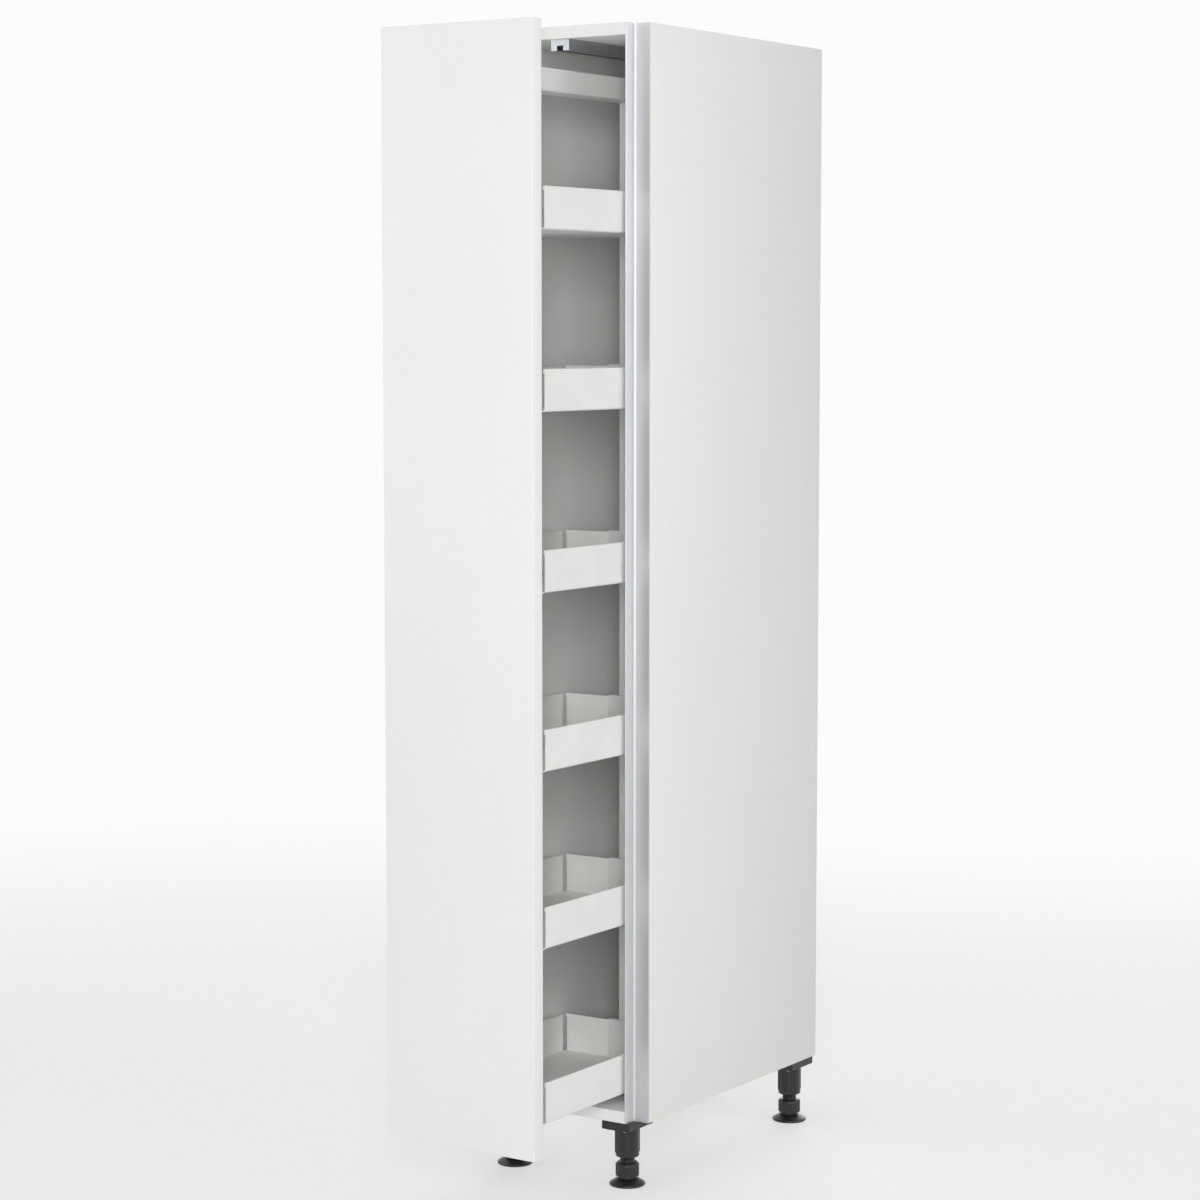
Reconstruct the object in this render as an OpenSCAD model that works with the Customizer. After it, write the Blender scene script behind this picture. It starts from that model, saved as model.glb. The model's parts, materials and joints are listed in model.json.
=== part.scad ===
// Pull-out larder unit: a tall, narrow kitchen cabinet on adjustable legs, with a handle-less
// door that draws out a slim frame of six folded-steel trays. A vertical recess at the front
// right corner of the carcass lets fingers reach behind the door's edge.
//
// The object stands on Z = 0. X = 0 is the carcass's mid-width, the door faces -Y, and Y = 0 is
// halfway between the door's face and the carcass's back with the pull-out drawn part way out.

/* [Carcass] */
// Outside width of the carcass
carcass_w = 300; // [280:5:400]
// Depth of the carcass, without the door
carcass_d = 560; // [555:5:620]
// Height of the carcass, without the legs
carcass_h = 1728; // [1500:8:2200]
// Thickness of the sides, top, bottom and fixing rail
board_t = 19; // [16:1:22]
// Thickness of the back panel
back_t = 8; // [5:1:10]
// Depth of the grooves that hold the back panel
groove_depth = 8; // [5:1:10]
// Height of the wall-fixing rail behind the back panel
rail_h = 90; // [60:5:150]
// Diameter of the two wall-fixing holes
fixing_hole_d = 6; // [5:0.5:8]
// Distance between the two wall-fixing holes
fixing_pitch = 180; // [120:10:200]
// Diameter of the beech dowels in the carcass joints
dowel_d = 8; // [6:1:8]
// Length of the dowels
dowel_l = 30; // [25:1:35]

/* [Grip recess] */
// Width of the recess, from the carcass's right face inwards
recess_w = 28; // [24:1:36]
// Depth of the recess, from the carcass's front edge backwards
recess_d = 24; // [20:1:36]
// Wall of the aluminium profile that lines the recess
grip_t = 2; // [1.5:0.5:3]
// Radius of the profile's inner corner
grip_fillet = 4; // [2:0.5:6]
// Depth of the profile's rib in the side panel's edge
grip_rib_l = 8; // [5:1:12]

/* [Door] */
// Thickness of the door
door_t = 25; // [18:1:28]
// Rounding of the door's upright edges
door_edge_r = 1.5; // [0.5:0.5:3]
// From the carcass's left face to the door's left edge
door_side_gap = 1.5; // [1:0.5:3]
// From the carcass's top down to the door's top edge
door_top_gap = 16; // [2:1:18]
// From the carcass's underside up to the door's bottom edge
door_bottom_gap = 2; // [1:1:5]
// How far the door's edge reaches over the recess
grip_overlap = 9; // [4:1:12]
// Thickness of the buffers that the closed door rests on
buffer_t = 2; // [1.5:0.5:3]
// Diameter of the buffers
buffer_d = 9; // [6:1:12]

/* [Pull-out frame] */
// How far the pull-out is drawn out at rest
pull_rest = 240; // [100:10:300]
// How far the pull-out comes out in all
pull_max = 450; // [400:10:455]
// Width of the two upright columns
column_w = 30; // [25:1:40]
// Depth of the columns
column_d = 15; // [12:1:15]
// Wall of the columns
column_t = 1.5; // [1:0.5:2]
// Distance between the slots in the columns
slot_pitch = 34; // [30:1:36]
// Height of a slot
slot_h = 18; // [16:1:20]
// Width of a slot
slot_w = 8; // [7:1:12]
// Width of the top beam
beam_w = 45; // [34:1:50]
// Height of the top beam
beam_h = 36; // [30:1:45]
// Wall of the top beam
beam_t = 2; // [1.5:0.5:3]
// Space between the carcass's top panel and the top beam
beam_drop = 50; // [46:1:70]
// Width of a door bracket
bracket_w = 84; // [76:2:110]
// Height of a door bracket
bracket_h = 50; // [40:2:70]
// Sheet thickness of the door brackets
bracket_t = 2.5; // [2:0.5:2.5]
// Height of the outer brackets' middles from the door's ends
bracket_inset = 150; // [100:10:200]

/* [Trays] */
// Length of a tray, front to back
tray_l = 414; // [380:2:420]
// Height of a tray's walls, over its floor sheet
tray_h = 64.5; // [60:0.5:80]
// Space between a tray and the carcass opening on each side
tray_side_gap = 4.5; // [3:0.5:10]
// Sheet thickness of the trays
sheet_t = 1.5; // [1:0.25:2]
// Inside radius of the folds
bend_r = 2.5; // [1.5:0.5:4]
// From the door's back to the trays
tray_front = 20; // [20:1:26]
// How far the side walls stop short of the tray's corners
side_relief = 10; // [8:1:16]
// How far the end walls stop short of the tray's corners
end_relief = 4; // [4:0.5:8]
// Height of the hemmed edge on top of the walls
hem_h = 7; // [5:1:10]
// Free height kept between the top tray and the beam
headroom = 180; // [150:10:220]
// Width of a tray's hook bracket
hook_w = 60; // [50:2:70]
// Sheet thickness of the hook brackets
hook_t = 2; // [1.5:0.5:2.5]

/* [Bottom runner] */
// Length of the runner's three members
runner_l = 500; // [480:5:510]
// Width of the cabinet member
runner_w = 70; // [66:1:90]
// Height of the cabinet member's sides
runner_side_h = 20; // [19:0.5:24]
// Sheet thickness of the cabinet and frame members
runner_t = 2; // [1.75:0.25:2.5]
// Wall of the middle member, between its inner and outer ball tracks
middle_t = 3.4; // [3.4:0.1:4]
// Gap between two members, that the balls bridge
track_gap = 3.4; // [3:0.1:3.6]
// Diameter of the balls
ball_d = 5; // [4.8:0.1:5.2]
// Balls in each row
balls_per_row = 13; // [8:1:14]
// Distance between two balls
ball_pitch = 20; // [12:1:20]

/* [Top guide] */
// Width of the guide rail
guide_w = 34; // [30:1:40]
// Height of the guide rail
guide_h = 18; // [17:0.5:22]
// Sheet thickness of the guide rail
guide_t = 1.8; // [1.5:0.1:2]
// Width of the slot along the guide rail's underside
guide_slot = 12; // [11:1:14]
// Height of the guide rollers
roller_h = 10; // [8:0.5:10]
// Diameter of the roller pins
pin_d = 6; // [5:0.5:6]

/* [Legs] */
// Height of the legs, from the floor to the carcass
leg_h = 110; // [105:1:160]
// Width of a leg's plate
plate_w = 52; // [48:1:58]
// Length of a leg's plate, front to back
plate_l = 75; // [70:1:90]
// Thickness of a leg's plate
plate_t = 14; // [10:1:16]
// From the carcass's side to the disc of a foot
leg_side_gap = 1; // [1:0.5:4]
// How much further in the leg beside the recess stands
recess_leg_shift = 19; // [19:1:40]
// From the carcass's front or back to a leg's middle
leg_inset_y = 38; // [36:1:60]
// Outside diameter of the leg's tube
tube_d = 38; // [34:1:42]
// Height of the leg's tube, with its plate
tube_h = 63; // [56:1:68]
// Diameter of the foot's stem in the tube
stem_d = 24; // [20:1:26]
// Diameter of the foot's collar
collar_d = 38; // [36:1:44]
// Height of the foot's collar
collar_h = 23; // [20:1:26]
// Diameter of the foot's disc
disc_d = 58; // [54:1:64]
// Height of the foot's disc
disc_h = 11; // [9:1:13]

/* [Hidden] */
TRAYS = 6;
CORNERS = ["front_left", "front_right", "rear_left", "rear_right"];
ENDS = ["front", "rear"];
$fn = 48;
EPS = 0.01;

// Clearances
fit_gap = 0.2;       // between pieces that slide into each other by hand
run_gap = 0.3;       // between pieces that move past each other
pin_gap = 0.05;      // round a pin in its roller
race_gap = 0.3;      // between a ball and its track
lift_gap = 2;        // under the lowest tray

// Places in the carcass. Its own corner, front left at the underside, is [0, 0, 0].
front_y = (pull_rest + door_t - carcass_d) / 2;
inner_l = board_t;
inner_r = carcass_w - board_t;
recess_x = carcass_w - recess_w;
side_front = recess_d + grip_t;
opening_r = recess_x - grip_t;
pull_x = (inner_l + opening_r) / 2;
back_y = carcass_d - board_t - back_t;
top_z = carcass_h - board_t;
rail_z = top_z - rail_h;

// Dowels: half a board deep in a side, the rest in the top or bottom panel. The outer ones lie
// between the screws of the legs.
dowel_in_side = board_t / 2;
dowel_ys = [max(leg_inset_y, side_front + dowel_d), carcass_d / 2, carcass_d - leg_inset_y];
dowel_zs = [board_t / 2, carcass_h - board_t / 2];

// Door
door_w = recess_x + grip_overlap - door_side_gap;
door_h = carcass_h - door_top_gap - door_bottom_gap;
door_left = door_side_gap - pull_x;
buffer_inset = 60;
buffer_taper = 1;
buffer_xs = [inner_l / 2 - pull_x, recess_x - grip_t / 2 - pull_x];

// Bottom runner, with z counted from the bottom panel's top
runner_y = 4;
travel_rest = pull_rest - buffer_t;
cabinet_half = runner_w / 2;
lip_l = track_gap - run_gap * 2;
middle_half = cabinet_half - runner_t - track_gap;
frame_half = middle_half - middle_t - track_gap;
outer_track_x = cabinet_half - runner_t - track_gap / 2;
inner_track_x = frame_half + track_gap / 2;
track_z = runner_side_h - 9;
track_r = ball_d / 2 + race_gap;
web_gap = 1;
middle_z = runner_t + web_gap;
lip_gap = 0.8;
middle_top = runner_side_h - runner_t - lip_gap;
frame_z = middle_z + runner_t + web_gap + fit_gap;
runner_h = runner_side_h + runner_t;
cage_t = 0.8;
web_t = 0.5;
cage_top = track_z + ball_d;
cage_l = balls_per_row * ball_pitch + ball_d;
cage_y = runner_y + (runner_l - cage_l) / 2;
pocket_gap = 0.15;

// Pull-out frame. Its own origin is the door's back face, on the pull-out's middle line.
shoe_t = 3;
shoe_l = 48;
shoe_ear_h = 30;
ear_x = column_w / 2 + fit_gap;
column_z = board_t + runner_h + shoe_t;
column_r = 2;
beam_r = 3;
beam_z = top_z - beam_drop - beam_h;
beam_top = beam_z + beam_h;
hook_reach = hook_t + fit_gap;
front_column_y = tray_front - hook_reach - run_gap - column_d;
rear_column_y = tray_front + tray_l + hook_reach + run_gap;
tray_z0 = column_z + lift_gap;
hook_z0 = 12;
slots_apart = floor((beam_z - tray_z0 - headroom) / (TRAYS - 1) / slot_pitch);
tray_pitch = slots_apart * slot_pitch;
slot_margin = 10;
slot_count = floor((beam_z - tray_z0 - hook_z0 - slot_h - slot_margin) / slot_pitch) + 1;
plug_l = 25;
brackets = [
    door_h - bracket_inset + door_bottom_gap,
    door_h / 2 + door_bottom_gap,
    bracket_inset + door_bottom_gap
];
ear_l = 13;

// Top guide
guide_y = 6;
guide_back_gap = 7;
guide_l = back_y - guide_back_gap - guide_y;
guide_z = top_z - guide_h;
roller_r = guide_w / 2 - guide_t - run_gap;
roller_z = guide_z + guide_t + (guide_h - 2 * guide_t - roller_h) / 2;
roller_y = pull_max + guide_y + roller_r + 3;
roller_pitch = 2 * roller_r + 6;
dish_w = 6;
dish_d = 1.2;
carriage_t = 3;
carriage_w = 32;
carriage_top = guide_z - 4;
carriage_y = roller_y - roller_r;
beam_l = roller_y + roller_pitch + roller_r - front_column_y;

// Trays
tray_w = opening_r - inner_l - 2 * tray_side_gap;
fold_r = bend_r + sheet_t;
hem_r = sheet_t + 0.2;
tab_r = 2;
tab_back = 0.75;
tongue_h = 6;
lip_drop = 6;

// Screws: a countersunk and a pan-headed one, with shanks of one thickness
shank_d = 4;
shank_l = 14;
shoe_screw_l = 8;
leg_screw_bite = 13;     // depth of the legs' screws in the bottom panel
column_screw_end = 3;    // what a column's screw shows inside the tube
sunk_d = 8;
pan_d = 8;
pan_h = 2.4;
leg_screw_xs = [-16, 16];
leg_screw_ys = [-30, 30];
bracket_screw_x = bracket_w / 2 - 9;
bracket_screw_z = bracket_h / 2 - 10;
shoe_screw_ys = [column_d + 12, column_d + 26];
runner_screw_inset = 50;
guide_screw_inset = 40;
runner_screw_ys = [
    for (i = [0:3]) runner_y + runner_screw_inset + i * (runner_l - 2 * runner_screw_inset) / 3
];
guide_screw_ys = [
    for (i = [0:3]) guide_y + guide_screw_inset + i * (guide_l - 2 * guide_screw_inset) / 3
];

// Legs: z counted down from the carcass's underside
leg_inset_x = disc_d / 2 + leg_side_gap;
bore_roof = 5;
bore_end = plate_t + bore_roof;
foot_neck_h = 4;
disc_rim_h = 4;
disc_edge = 1.5;
collar_chamfer = 4;
collar_slot_w = 4;
collar_slot_d = 1.2;
collar_slot_end = 4;
tube_edge = 2;
plate_r = 4;
rib_t = 3;
rib_out = 1.5;
rib_end = 7;
neck_d = stem_d + 4;

function leg_at(c) = [
    (c % 2 == 0) ? leg_inset_x : carcass_w - leg_inset_x - ((c == 1) ? recess_leg_shift : 0),
    (c < 2) ? leg_inset_y : carcass_d - leg_inset_y,
    0
];
function tray_z(i) = tray_z0 + i * tray_pitch;

module in_carcass() translate([-carcass_w / 2, front_y, leg_h]) children();
module in_pullout() translate([pull_x - carcass_w / 2, front_y - pull_rest, leg_h]) children();
module in_runner(y) in_carcass() translate([pull_x, y, board_t]) children();

// A drawing in the plane of X and Z, made l long from y backwards
module along_y(y, l) translate([0, y + l, 0]) rotate([90, 0, 0]) linear_extrude(l) children();
// A drawing whose x is Y and whose y is Z, made w wide about X = 0
module across_x(w)
    translate([-w / 2, 0, 0]) rotate([90, 0, 90]) linear_extrude(w) children();
// A bar of a section, centred on x = 0, and a pair of anything at equal distances from x = 0
module bar(w, h) translate([-w / 2, 0]) square([w, h]);
module at_sides(x, y = 0) for (s = [-1, 1]) translate([s * x, y]) children();
module both_sides() for (s = [0, 1]) mirror([s, 0, 0]) children();

module rounded_rect(w, h, r) {
    translate([r, 0]) square([w - 2 * r, h]);
    translate([0, r]) square([w, h - 2 * r]);
    for (x = [r, w - r], y = [r, h - r]) translate([x, y]) circle(r);
}

// Screws point along -Z, with the face they sit on at Z = 0
module pan_screw(l = shank_l, gap = 0) {
    cylinder(h = pan_h, d = pan_d);
    translate([0, 0, -l]) cylinder(h = l + EPS, d = shank_d + 2 * gap);
}
module sunk_screw(depth, l = shank_l, gap = 0) {
    translate([0, 0, -depth]) cylinder(h = depth, d1 = shank_d + 2 * gap, d2 = sunk_d + 2 * gap);
    translate([0, 0, -l]) cylinder(h = l, d = shank_d + 2 * gap);
}

// ---- Carcass ----

module back_groove(extra = fit_gap) {
    edge = board_t - groove_depth;
    translate([edge, back_y - extra, edge])
        cube([carcass_w - 2 * edge, back_t + 2 * extra, carcass_h - 2 * edge]);
}

module dowels(gap = 0) {
    for (y = dowel_ys, z = dowel_zs, s = [0, 1])
        translate([s * carcass_w, y, z]) mirror([s, 0, 0])
            translate([board_t - dowel_in_side - gap, 0, 0]) rotate([0, 90, 0])
                cylinder(h = dowel_l + 2 * gap, d = dowel_d + gap);
}

module side_left() {
    color("white") in_carcass() difference() {
        cube([board_t, carcass_d, carcass_h]);
        back_groove();
        dowels(fit_gap);
        leg_screw_set(fit_gap / 2);
    }
}

module grip_rib(gap = 0) {
    translate([inner_r + board_t / 2 - grip_t / 2 - gap, side_front - EPS, -gap])
        cube([grip_t + 2 * gap, grip_rib_l + gap + EPS, carcass_h + 2 * gap]);
}

module side_right() {
    color("white") in_carcass() difference() {
        translate([inner_r, side_front, 0])
            cube([board_t, carcass_d - side_front, carcass_h]);
        back_groove();
        dowels(fit_gap);
        grip_rib(fit_gap);
        leg_screw_set(fit_gap / 2);
    }
}

// The top and bottom panels share an outline with a corner cut out for the recess
module panel_blank(z) {
    translate([0, 0, z]) linear_extrude(board_t) polygon([
        [inner_l, 0], [opening_r, 0], [opening_r, side_front], [inner_r, side_front],
        [inner_r, carcass_d], [inner_l, carcass_d]
    ]);
}

module top_panel() {
    color("white") in_carcass() difference() {
        panel_blank(top_z);
        back_groove();
        dowels(fit_gap);
        guide_screw_set(fit_gap / 2);
    }
}

module bottom_panel() {
    color("white") in_carcass() difference() {
        panel_blank(0);
        back_groove();
        dowels(fit_gap);
        runner_screw_set(fit_gap / 2);
        leg_screw_set(fit_gap / 2);
    }
}

module fixing_holes(gap = 0) {
    for (s = [-1, 1])
        translate([carcass_w / 2 + s * fixing_pitch / 2, back_y - 1, rail_z + rail_h / 2])
            rotate([-90, 0, 0]) cylinder(h = back_t + board_t + 2, d = fixing_hole_d + gap);
}

module back_panel() {
    edge = board_t - groove_depth + fit_gap;
    color("white") in_carcass() difference() {
        translate([edge, back_y, edge])
            cube([carcass_w - 2 * edge, back_t, carcass_h - 2 * edge]);
        fixing_holes();
    }
}

module fixing_rail() {
    color("white") in_carcass() difference() {
        translate([inner_l, back_y + back_t, rail_z]) cube([inner_r - inner_l, board_t, rail_h]);
        fixing_holes();
    }
}

module carcass_dowels() {
    color("burlywood") in_carcass() dowels();
}

module grip_profile() {
    color("silver") in_carcass() {
        linear_extrude(carcass_h) {
            translate([opening_r, grip_t / 2]) square([grip_t, side_front - grip_t / 2]);
            translate([opening_r + grip_t / 2, grip_t / 2]) circle(d = grip_t);
            translate([opening_r, recess_d]) square([carcass_w - opening_r, grip_t]);
            translate([recess_x, recess_d]) difference() {
                translate([-EPS, -grip_fillet]) square([grip_fillet + EPS, grip_fillet + EPS]);
                translate([grip_fillet, -grip_fillet]) circle(grip_fillet);
            }
        }
        grip_rib();
    }
}

// ---- Legs ----

module leg_screw_set(gap = 0) {
    for (c = [0:3], x = leg_screw_xs, y = leg_screw_ys)
        translate(leg_at(c) + [x, y, -plate_t]) mirror([0, 0, 1])
            pan_screw(plate_t + leg_screw_bite, gap);
}

// Plate and tube, with four ribs down the tube on the plate's diagonals
module leg_socket(c) {
    tube_r = tube_d / 2;
    rib_root = 1;
    rib_l = tube_h - plate_t - rib_end;
    color("#202020") in_carcass() difference() {
        translate(leg_at(c)) {
            translate([-plate_w / 2, -plate_l / 2, -plate_t]) linear_extrude(plate_t)
                rounded_rect(plate_w, plate_l, plate_r);
            rotate_extrude($fn = 64) polygon([
                [0, 0], [tube_r, 0], [tube_r, tube_edge - tube_h],
                [tube_r - tube_edge / 3, tube_edge / 3 - tube_h], [tube_r - tube_edge, -tube_h],
                [0, -tube_h]
            ]);
            for (a = [45:90:315]) rotate([0, 0, a])
                translate([tube_r - rib_root, rib_t / 2, -plate_t])
                    rotate([90, 0, 0]) linear_extrude(rib_t) polygon([
                        [0, EPS], [rib_root + rib_out, EPS], [rib_root + rib_out, -rib_l],
                        [0, -rib_l - rib_out]
                    ]);
        }
        translate(leg_at(c) - [0, 0, tube_h + EPS])
            cylinder(h = tube_h - bore_end + EPS, d = stem_d + 2 * run_gap);
        leg_screw_set(fit_gap / 2);
    }
}

// One moulding: a disc with a sloping top, a neck, a slotted collar with a chamfered top, and
// the stem in the tube
module leg_foot(c) {
    disc_r = disc_d / 2;
    collar_r = collar_d / 2;
    collar_z = disc_h + foot_neck_h;
    collar_top = min(collar_z + collar_h, leg_h - tube_h - 1);
    stem_top = leg_h - bore_end - run_gap;
    color("#202020") in_carcass() translate(leg_at(c) - [0, 0, leg_h]) difference() {
        rotate_extrude($fn = 64) polygon([
            [0, 0], [disc_r - disc_edge, 0], [disc_r, disc_edge], [disc_r, disc_rim_h - 1],
            [disc_r - disc_edge, disc_rim_h], [neck_d / 2 + 3, disc_h], [neck_d / 2, disc_h],
            [neck_d / 2, collar_z], [collar_r, collar_z], [collar_r, collar_top - collar_chamfer],
            [collar_r - collar_chamfer, collar_top], [stem_d / 2, collar_top],
            [stem_d / 2, stem_top - 1], [stem_d / 2 - 1, stem_top], [0, stem_top]
        ]);
        for (a = [0:60:300]) rotate([0, 0, a])
            translate([collar_r - collar_slot_d, -collar_slot_w / 2, collar_z + collar_slot_end])
                cube([2 * collar_slot_d, collar_slot_w,
                      collar_h - 2 * collar_slot_end - collar_chamfer / 2]);
    }
}

module leg_screws() {
    color("silver") in_carcass() leg_screw_set();
}

// ---- Bottom runner ----

module tracks(x) at_sides(x, track_z) circle(track_r);

module cabinet_section() difference() {
    union() {
        bar(runner_w, runner_t);
        at_sides(cabinet_half - runner_t / 2) bar(runner_t, runner_side_h);
        at_sides(cabinet_half - (runner_t + lip_l) / 2, runner_side_h - runner_t)
            bar(runner_t + lip_l, runner_t);
    }
    tracks(outer_track_x);
}

module middle_section() difference() {
    union() {
        translate([0, middle_z]) bar(2 * middle_half, runner_t);
        at_sides(middle_half - middle_t / 2, middle_z) bar(middle_t, middle_top - middle_z);
    }
    tracks(outer_track_x);
    tracks(inner_track_x);
}

module frame_section() difference() {
    union() {
        translate([0, runner_h - runner_t]) bar(2 * frame_half, runner_t);
        at_sides(frame_half - runner_t / 2, frame_z) bar(runner_t, runner_h - frame_z);
    }
    tracks(inner_track_x);
}

module cage_section(x, web_z) {
    translate([0, web_z]) bar(2 * x + cage_t, web_t);
    at_sides(x, web_z) bar(cage_t, cage_top - web_z);
}

module ball_places(x) {
    for (i = [0:balls_per_row - 1], s = [-1, 1])
        translate([s * x, ball_d / 2 + ball_pitch / 2 + i * ball_pitch, track_z]) children();
}

module cage(x, web_z) difference() {
    along_y(0, cage_l) cage_section(x, web_z);
    ball_places(x) rotate([0, 90, 0])
        cylinder(h = 3 * cage_t, d = ball_d + 2 * pocket_gap, center = true, $fn = 24);
}

module balls(x) ball_places(x) sphere(d = ball_d, $fn = 24);

module runner_screw_set(gap = 0) {
    for (y = runner_screw_ys)
        translate([pull_x, y, board_t + runner_t - fit_gap / 2]) sunk_screw(runner_t, shank_l, gap);
}

module runner_cabinet_member() {
    color("silver") difference() {
        in_runner(0) along_y(runner_y, runner_l) cabinet_section();
        in_carcass() runner_screw_set(fit_gap / 2);
    }
}

module runner_middle_member() {
    color("silver") in_runner(runner_y - travel_rest / 2) along_y(0, runner_l) middle_section();
}

module runner_frame_member() {
    color("silver") difference() {
        in_runner(runner_y - travel_rest) along_y(0, runner_l) frame_section();
        in_pullout() shoe_screw_set(fit_gap / 2);
    }
}

module runner_cage_outer() {
    color("ivory") in_runner(cage_y - travel_rest / 4)
        cage(outer_track_x, runner_t + (web_gap - web_t) / 2);
}

module runner_cage_inner() {
    color("ivory") in_runner(cage_y - travel_rest * 3 / 4)
        cage(inner_track_x, middle_z + runner_t + (web_gap + fit_gap - web_t) / 2);
}

module runner_balls_outer() {
    color("gainsboro") in_runner(cage_y - travel_rest / 4) balls(outer_track_x);
}

module runner_balls_inner() {
    color("gainsboro") in_runner(cage_y - travel_rest * 3 / 4) balls(inner_track_x);
}

module runner_screws() {
    color("silver") in_carcass() runner_screw_set();
}

// ---- Top guide ----

module guide_section(inside) difference() {
    bar(guide_w, guide_h);
    if (inside) translate([0, guide_t]) bar(guide_w - 2 * guide_t, guide_h - 2 * guide_t);
    translate([0, -1]) bar(guide_slot, guide_h / 2);
}

module guide_screw_set(gap = 0) {
    for (y = guide_screw_ys)
        translate([pull_x, y, top_z - guide_t + fit_gap / 2]) mirror([0, 0, 1])
            sunk_screw(guide_t, shank_l, gap);
}

// A slotted channel whose ends are closed by stops for the rollers
module guide_rail() {
    color("silver") in_carcass() difference() {
        translate([pull_x, 0, guide_z]) {
            along_y(guide_y, guide_l) guide_section(true);
            for (y = [guide_y, guide_y + guide_l - guide_t]) along_y(y, guide_t) guide_section(false);
        }
        guide_screw_set(fit_gap / 2);
    }
}

module guide_screws() {
    color("silver") in_carcass() guide_screw_set();
}

module at_rollers() for (i = [0, 1]) translate([0, roller_y + i * roller_pitch, 0]) children();

// A bent bracket on the rear of the beam, under the rail
module guide_carriage() {
    color("silver") in_pullout() difference() {
        translate([0, carriage_y, 0]) along_y(0, roller_pitch + 2 * roller_r) {
            translate([0, carriage_top - carriage_t]) bar(carriage_w, carriage_t);
            at_sides((carriage_w - carriage_t) / 2, beam_top)
                bar(carriage_t, carriage_top - beam_top);
        }
        at_rollers() translate([0, 0, carriage_top - 2 * carriage_t])
            cylinder(h = 3 * carriage_t, d = pin_d + 2 * pin_gap);
    }
}

module guide_pins() {
    head_d = guide_slot - 3;
    head_h = 1.2;
    rivet_h = 2;
    color("gainsboro") in_pullout() at_rollers() {
        translate([0, 0, carriage_top - carriage_t - rivet_h]) cylinder(h = rivet_h, d = head_d);
        translate([0, 0, carriage_top - carriage_t])
            cylinder(h = roller_z + roller_h - carriage_top + carriage_t + run_gap, d = pin_d);
        translate([0, 0, carriage_top]) cylinder(h = roller_z - carriage_top - run_gap, d = head_d);
        translate([0, 0, roller_z + roller_h + run_gap]) cylinder(h = head_h, d = head_d);
    }
}

module guide_roller(i) {
    color("ivory") in_pullout() translate([0, roller_y + i * roller_pitch, roller_z])
        rotate_extrude($fn = 64) translate([pin_d / 2 + pin_gap, 0]) difference() {
            square([roller_r - pin_d / 2 - pin_gap, roller_h]);
            for (z = [0, roller_h]) translate([(roller_r - pin_d / 2) / 2, z])
                square([dish_w, 2 * dish_d], center = true);
        }
}

// ---- Door and frame ----

module bracket_places() for (z = brackets) translate([0, 0, z]) children();

module door_screw_set(gap = 0) {
    bracket_places() for (x = [-1, 1], z = [-1, 1])
        translate([x * bracket_screw_x, bracket_t, z * bracket_screw_z]) rotate([-90, 0, 0])
            pan_screw(shank_l, gap);
}

// Screws from both sides into a column whose front is at y
module column_screw_pair(y, gap = 0) {
    for (s = [-1, 1]) translate([s * (ear_x + bracket_t), y + column_d / 2, 0])
        rotate([0, s * 90, 0]) pan_screw(bracket_t + column_t + column_screw_end, gap);
}

module column_screw_set(gap = 0) {
    bracket_places() for (z = [-1, 1])
        translate([0, 0, z * bracket_screw_z]) column_screw_pair(front_column_y, gap);
    for (y = [front_column_y, rear_column_y])
        translate([0, 0, column_z + shoe_ear_h / 2]) column_screw_pair(y, gap);
}

module door() {
    color("white") in_pullout() difference() {
        translate([door_left, -door_t, door_bottom_gap]) linear_extrude(door_h)
            rounded_rect(door_w, door_t, door_edge_r);
        door_screw_set(fit_gap / 2);
    }
}

module door_buffers() {
    color("gainsboro") in_pullout()
        for (x = buffer_xs, z = [buffer_inset, door_h - buffer_inset])
            translate([x, 0, door_bottom_gap + z]) rotate([-90, 0, 0])
                cylinder(h = buffer_t - fit_gap / 2, d1 = buffer_d, d2 = buffer_d - buffer_taper);
}

// A plate on the door's back with an ear on each side of the front column
module door_bracket(i) {
    color("silver") in_pullout() difference() {
        translate([0, 0, brackets[i] - bracket_h / 2]) linear_extrude(bracket_h) {
            bar(bracket_w, bracket_t);
            at_sides(ear_x + bracket_t / 2) bar(bracket_t, bracket_t + ear_l);
        }
        door_screw_set(fit_gap / 2);
        column_screw_set(fit_gap / 2);
    }
}

module door_screws() {
    color("silver") in_pullout() door_screw_set();
}

module column_screws() {
    color("silver") in_pullout() column_screw_set();
}

module slots(y) {
    for (k = [0:slot_count - 1])
        translate([-slot_w / 2, y, tray_z0 + hook_z0 + k * slot_pitch])
            cube([slot_w, column_t + 2 * EPS, slot_h]);
}

module column_tube(y) {
    translate([-column_w / 2, y, column_z]) difference() {
        linear_extrude(beam_z - column_z) rounded_rect(column_w, column_d, column_r);
        translate([column_t, column_t, -1])
            cube([column_w - 2 * column_t, column_d - 2 * column_t, beam_z]);
    }
}

module front_column() {
    color("silver") in_pullout() difference() {
        column_tube(front_column_y);
        slots(front_column_y + column_d - column_t - EPS);
        column_screw_set(fit_gap / 2);
    }
}

module rear_column() {
    color("silver") in_pullout() difference() {
        column_tube(rear_column_y);
        slots(rear_column_y - EPS);
        column_screw_set(fit_gap / 2);
    }
}

// Blocks in the columns' upper ends that hold them to the beam
module column_plugs() {
    inset = column_t + fit_gap;
    color("dimgray") in_pullout() for (y = [front_column_y, rear_column_y])
        translate([inset - column_w / 2, y + inset, beam_z - plug_l])
            cube([column_w - 2 * inset, column_d - 2 * inset, plug_l]);
}

module shoe_screw_set(gap = 0) {
    for (d = shoe_screw_ys, y = [front_column_y + d, rear_column_y + column_d - d])
        translate([0, y, column_z - fit_gap / 2]) sunk_screw(shoe_t, shoe_screw_l, gap);
}

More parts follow.
